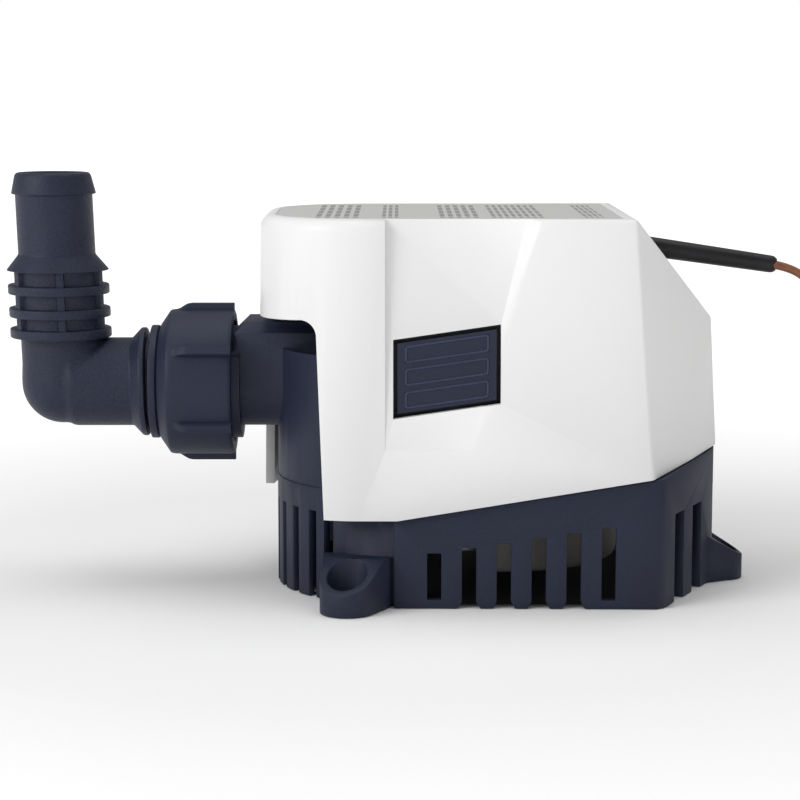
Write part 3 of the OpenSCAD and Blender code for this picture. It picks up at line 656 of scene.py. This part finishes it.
def corner_rings(angles, level_r, upright_r, ball_r, fillet):
    """Rings in planes that fan about the inner corner. In each plane the ring's centre is
    on the L-shaped centreline, and its radius is where the corner's distance turns 0,
    found by halving."""
    farthest, halvings = 24, 34
    fan = np.linspace(0, np.pi / 2, 56)[:, None]
    down = np.concatenate([-np.sin(fan), 0 * fan, -np.cos(fan)], 1)
    to_level = PIVOT[1] / np.maximum(np.cos(fan), 1e-9)
    to_upright = PIVOT[0] / np.maximum(np.sin(fan), 1e-9)
    reach = np.minimum(to_level, to_upright)
    centre = np.array([PIVOT[0], 0, PIVOT[1]]) + reach * down
    a = angles[None, :, None]
    rays = np.cos(a) * down[:, None] + np.sin(a) * np.array([0, 1, 0])
    low = np.zeros((len(fan), len(angles), 1))
    high = low + farthest
    towards = np.minimum(farthest, reach[:, None] / np.maximum(-np.cos(a), 1e-9))
    high = np.minimum(high, towards)
    for _ in range(halvings):
        middle = (low + high) / 2
        points = centre[:, None] + middle * rays
        value = corner_distance(points, level_r, upright_r, ball_r, fillet)[..., None]
        low, high = np.where(value < 0, middle, low), np.where(value < 0, high, middle)
    return centre[:, None] + low * rays


def upright_rings(profile, angles, ribs=False):
    """Each profile point (z, r) goes round the barb: x = -r cos, y = r sin. Between the
    large rings six ribs stand 1.1 mm proud of the core."""
    z, r = profile[:, :1], profile[:, 1:2]
    if ribs:
        turn = np.degrees(angles) + 100
        across = np.abs((turn + 30) % 60 - 30) * np.pi / 180 * 11.5
        rib = 11.9 * (1 - smooth_step(across, 0.85, 1.15))
        in_cage = (z > 13.2) & (z < 27.9) & (r < 11.4)
        r = np.where(in_cage, np.maximum(r, rib), r + 0 * angles)
    return np.stack([-r * np.cos(angles), r * np.sin(angles), z + 0 * r * angles], -1)


def barb_profile():
    """Neck, three rings, skirt, plain spigot and conical lip, as (height, radius)."""
    big, core, small = 12.5, 10.8, 9.5
    rings = [[(z, core), (z, big), (z + 2.3, big), (z + 2.3, core)]
             for z in (11.3, 16.4, 22.1)]
    rings = [point for ring in rings for point in ring]
    rings += [(27.9, core), (27.9, big + 0.2), (31.8, small), (46.7, small),
              (46.7, 10.45), (51.3, 9.4), (51.95, 8.9), (52.0, 8.0)]
    profile = np.array([(11.1, 10.0)] + rings)
    return eased(profile, 0.4)


def make_elbow():
    """One closed skin: out along the level leg, round the corner, up the barb, over its
    lip and back down the bore."""
    angles = circle_angles(180)
    level = np.array([(-42.6, 9), (-42.6, 13.8), (-44.9, 13.8), (-44.9, 11), (-50.1, 11),
                      (-50.2, 13.5), (-51.4, 13.5), (-53.8, 10.98), (-59.5, 10.98)])
    level = turned_about_x(eased(level, 0.35), angles)
    level[..., 0] -= ELBOW[0]
    outer = corner_rings(angles, 10.98, 10.0, 9.75, 1.6)
    barb = upright_rings(barb_profile(), angles, ribs=True)
    bore = upright_rings(np.array([(51.6, 7.45), (50, 7.3), (30, 7.3), (11.1, 7.3)]), angles)
    inner = corner_rings(angles, 7.6, 7.3, 7.6, 0.8)[::-1]
    way = np.array([(-59.5, 7.6), (-50, 7.6), (-42.7, 7.6)])
    way = turned_about_x(way, angles)
    way[..., 0] -= ELBOW[0]
    grid = np.concatenate([level[:-1], outer, barb[1:], bore, inner[1:], way[1:]])
    grid[..., 0] -= LEAN * np.maximum(grid[..., 2], 0)
    elbow = from_grid("hose_elbow_skin", grid + ELBOW, close_rows=True)
    dress(shade(elbow, 30), "navy_plastic", "hose_elbow", coarse_navy())
    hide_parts("elbow")


make_elbow()


# ---------------------------------------------------------------- union nut

def wing_angles():
    """Angles round the nut, close together on the flanks of each of the six wings."""
    near = np.array([0, 1.6, 2.9, 3.3, 3.7, 4.3, 5.2, 7])
    half = np.concatenate([near, np.linspace(10, 27, 6)])
    both = np.concatenate([-30 + 0 * half[:1], -half[:0:-1], half])
    return np.radians((both[None] + 60 * np.arange(6)[:, None]).ravel())


def make_nut():
    """Radius is the turned profile or the wing, whichever is larger. A wing is 2.4 mm
    wide, 1.7 mm high, ramps up from the cone and its flanks fall away steeply."""
    angles = wing_angles()
    outside = np.array([
        (-49.3, 12.15), (-49.3, 14.1), (-47.5, 14.1), (-47.2, 13.4), (-46.9, 14.4),
        (-44.5, 17.9), (-43.4, 18.05), (-42, 18.08), (-40.5, 18.1), (-39, 18.1),
        (-37, 18.1), (-33, 18.1), (-29.6, 18.1), (-28.75, 17.8), (-28.7, 17.2),
        (-28.7, 15.4), (-29.6, 14.6), (-45.9, 14.45), (-45.95, 12.15)])
    profile = eased(outside, 0.3, 3)
    x, r = profile[:, :1], profile[:, 1:2]
    across = np.abs((np.degrees(angles) + 30) % 60 - 30) * np.pi / 180 * 18.5
    crest = 17.2 + 2.45 * smooth_step(x, -44.9, -39.4)
    wing = crest * (1 - smooth_step(across, 1.0, 1.5) * 0.3)
    index = np.arange(len(profile))[:, None]
    outer = (x > -44.9) & (index < len(profile) - 12) & (r > 17)
    r = np.where(outer, np.maximum(r, wing), r + 0 * angles)
    grid = np.stack([x + 0 * r, r * np.sin(angles), r * np.cos(angles)], -1)
    nut = from_grid("union_nut_skin", grid + np.array([0, 0, PORT_HEIGHT]), close_rows=True)
    dress(shade(nut, 30), "navy_plastic", "nut")
    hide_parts("union_nut")


make_nut()


# ---------------------------------------------------------------- springs

BUTTON_X, BUTTON_Z = 23.4, 56.4
BUTTON_SLOPE = math.tan(math.radians(8.2))


def helix(name, start, end, radius, wire, turns):
    """Round wire wound about the line from start to end: centre + r cos(a) u + r sin(a) v.
    Its first and last turn lie flat, and its ends shrink to a dot."""
    start, end = np.asarray(start, float), np.asarray(end, float)
    axis = unit(end - start)
    u = unit(np.cross(axis, [0.3, 0.5, 0.81]))
    v = np.cross(axis, u)
    t = np.linspace(0, 1, int(40 * turns))
    flat = smooth_step(t, 0.06, 0.14) * (1 - smooth_step(t, 0.86, 0.94))
    rise = np.cumsum(0.12 + flat)
    rise = (rise / rise[-1])[:, None]
    a = (2 * np.pi * turns * t)[:, None]
    out = np.cos(a) * u + np.sin(a) * v
    line = start + (end - start) * rise + radius * out
    third = unit(np.cross(np.gradient(line, axis=0), out))
    b = circle_angles(10)[None, :, None]
    ring = wire / 2 * (np.cos(b) * out[:, None] + np.sin(b) * third[:, None])
    grid = line[:, None] + ring
    ends = 0 * grid[:1] + line[0], 0 * grid[:1] + line[-1]
    return shade(from_grid(name, np.concatenate([ends[0], grid, ends[1]])), 60)


def make_springs():
    for side, word in ((-1, "front"), (1, "back")):
        spring = helix("button_spring_" + word, (BUTTON_X, side * 31.5, BUTTON_Z),
                       (BUTTON_X, side * 22.1, BUTTON_Z), 2.0, 0.68, 9)
        dress(spring, "stainless", "pump")
        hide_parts("spring_" + word)
        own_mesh(spring)
    low, high = (1000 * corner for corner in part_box("brush_springs"))
    middle = (low + high) / 2
    for side, word in ((-1, "left"), (1, "right")):
        near = (middle.x + side * (high.x - middle.x - 3.9), middle.y, middle.z)
        far = (middle.x + side * (high.x - middle.x - 0.3), middle.y, middle.z)
        spring = helix("brush_spring_" + word, near, far, 1.2, 0.42, 6)
        dress(spring, "stainless", "pump")
        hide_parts("brush_springs")


make_springs()


# ---------------------------------------------------------------- button trim

def round_cornered_outline(width, height, corner, count=12):
    """Closed outline (x, z) of a rectangle whose corners are quarter circles, and the
    outward normal at each of its points."""
    a = np.linspace(0, np.pi / 2, count)
    turn = np.concatenate([a + q * np.pi / 2 for q in range(4)])
    quadrant = np.repeat(np.arange(4), count)
    sign_x = np.array([1, -1, -1, 1])[quadrant]
    sign_z = np.array([1, 1, -1, -1])[quadrant]
    normal = np.stack([np.cos(turn), np.sin(turn)], -1)
    centre = np.stack([sign_x * (width / 2 - corner), sign_z * (height / 2 - corner)], -1)
    return centre + corner * normal, normal


def frame_ring(name, side, width, height, corner, centre_z, section):
    """A closed moulding round a rectangle whose top and bottom edges rise towards +X:
    z = centre + own height + x tan(slope). section is (outward, y) pairs: how far a point
    stands outside the outline, and how far it is from the pump's middle plane."""
    line, normal = round_cornered_outline(width, height, corner)
    section = np.asarray(section, float)
    flat = line[:, None] + section[None, :, :1] * normal[:, None]
    x = BUTTON_X + flat[..., 0]
    z = centre_z + flat[..., 1] + flat[..., 0] * BUTTON_SLOPE
    y = side * (section[None, :, 1] + 0 * x)
    return from_grid(name, np.stack([x, y, z], -1), close_rows=True)


def make_button_trim():
    """Three raised frames on each button, in a lighter navy that is a painted highlight on
    their ridges, and, behind the shell's wall, a black rim wider than the window as painted
    shade. Without the rim the far window shows as a bright spot through the gap round the
    button."""
    # painted highlight: the frames get a lighter navy than the button, for light on their
    # raised ridges
    painted_highlight = moulded_navy("rubbed navy plastic", (0.036, 0.045, 0.092), 0.02, 0.3)
    a = np.linspace(0, np.pi, 7)
    ridge = np.stack([0.25 * np.cos(a), 35.84 + 0.3 * np.sin(a)], -1)
    ridge = np.concatenate([ridge, [[-0.25, 35.7], [0.25, 35.7]]])
    rim = [(-1.6, 33.3), (2.2, 33.3), (2.4, 33.1), (2.4, 32.5), (2.2, 32.3), (-1.6, 32.3)]
    for side, word in ((-1, "front"), (1, "back")):
        for i in (-1, 0, 1):
            bar = frame_ring("button_bar_%s_%d" % (word, i + 2), side, 19.2, 3.6, 0.5,
                             BUTTON_Z + 5.4 * i, ridge)
            dress(shade(bar, 40), "navy_plastic", word + "_button", painted_highlight)
        # painted shade: a black rim, there only to keep the gap round the button dark
        painted_shade_rim = frame_ring("button_rim_" + word, side, 23.2, 16.6, 0.8, BUTTON_Z, rim)
        dress(shade(painted_shade_rim, 30), "black_plastic", word + "_button")


make_button_trim()


# ---------------------------------------------------------------- moulded pieces

MOULDED = [
    ("top_shell", 0.3, False, "white_shell", "pump"),
    ("strainer_base", 0.28, True, "navy_plastic", "pump"),
    ("pump_body", 0.3, True, "navy_plastic", "pump"),
    ("float_body", 0.3, False, "float_grey", "float"),
]
for node_name, edge_width, split_faces, slot_name, body_name in MOULDED:
    dress(softened(node_name, edge_width, split_faces), slot_name, body_name)


# ---------------------------------------------------------------- studio

def make_floor():
    """A pale matt floor with two aids to the view. It carries a painted shadow, near black
    inside the pump's footprint, so that what shows through the slots is dark, and it gives off
    light of its own that grows with distance, so that far floor and background are both white."""
    side = 12.0
    corners = np.array([[-side, -side, 0], [side, -side, 0], [side, side, 0],
                        [-side, side, 0]])
    floor = new_piece("studio_floor", corners - np.array([0, 0, 0.0002]),
                      np.array([[0, 1, 2, 3]]))
    f = Finish("studio floor")
    x, y, _ = f.axes()
    reach = (x * x + y * y).maths("SQRT")
    # light of its own: none near the pump, white from 2.5 m on
    lit = f.mixed(reach.ramp(0.12, 0.42), (0, 0, 0), (0.42, 0.42, 0.42))
    lit = f.mixed(reach.ramp(0.5, 2.5), lit, (0.95, 0.95, 0.95))
    # painted shadow's footprint: a rectangle under the well joined to a disc under the drum
    off_x = (x - 0.0445).maths("ABSOLUTE") - 0.0285
    off_y = y.maths("ABSOLUTE") - 0.031
    off_drum = ((x - 0.017) * (x - 0.017) + y * y).maths("SQRT") - 0.029
    outside = off_x.maths("MAXIMUM", off_y).maths("MINIMUM", off_drum).ramp(0, 0.005)
    sweep = f.noise(3, 2)
    base = f.mixed(sweep.ramp(0.3, 0.7), (0.94, 0.94, 0.94), (0.97, 0.97, 0.97))
    # painted shadow: inside the footprint the floor is mixed to near black
    base = f.mixed(outside, (0.06, 0.06, 0.065), base)
    floor.data.materials.append(f.done(Base_Color=base, Roughness=0.8 + 0.1 * sweep,
                                       Specular_IOR_Level=0.1, Emission_Color=lit,
                                       Emission_Strength=1.0))


def make_world():
    """Plain white where the camera sees it. As a light it is 0.43 of that."""
    world = bpy.data.worlds.new("studio")
    world.use_nodes = True
    tree = world.node_tree
    tree.nodes.clear()
    path = tree.nodes.new("ShaderNodeLightPath")
    seen = tree.nodes.new("ShaderNodeBackground")
    seen.inputs["Strength"].default_value = 1.0
    light = tree.nodes.new("ShaderNodeBackground")
    light.inputs["Strength"].default_value = 0.43
    for background in (seen, light):
        background.inputs["Color"].default_value = (1, 1, 1, 1)
    mix = tree.nodes.new("ShaderNodeMixShader")
    out = tree.nodes.new("ShaderNodeOutputWorld")
    tree.links.new(path.outputs["Is Camera Ray"], mix.inputs[0])
    tree.links.new(light.outputs[0], mix.inputs[1])
    tree.links.new(seen.outputs[0], mix.inputs[2])
    tree.links.new(mix.outputs[0], out.inputs["Surface"])
    scene.world = world


def softbox(name, place, target, width, height, power):
    data = bpy.data.lights.new(name, "AREA")
    data.shape = "RECTANGLE"
    data.size, data.size_y = width, height
    data.energy = power
    lamp = bpy.data.objects.new(name, data)
    scene.collection.objects.link(lamp)
    lamp.location = place
    aim(lamp, target)


make_floor()
make_world()
softbox("key", (-0.8, -0.6, 0.55), (0, 0, 0.05), 0.6, 0.5, 5.2)
softbox("fill", (0.7, -1.4, 0.4), (0.02, 0, 0.05), 1.0, 1.0, 0.8)
softbox("overhead", (0.0, 0.1, 1.5), (0.02, 0, 0.05), 1.4, 1.2, 8)
scene.view_settings.view_transform = "Standard"
scene.view_settings.look = "None"
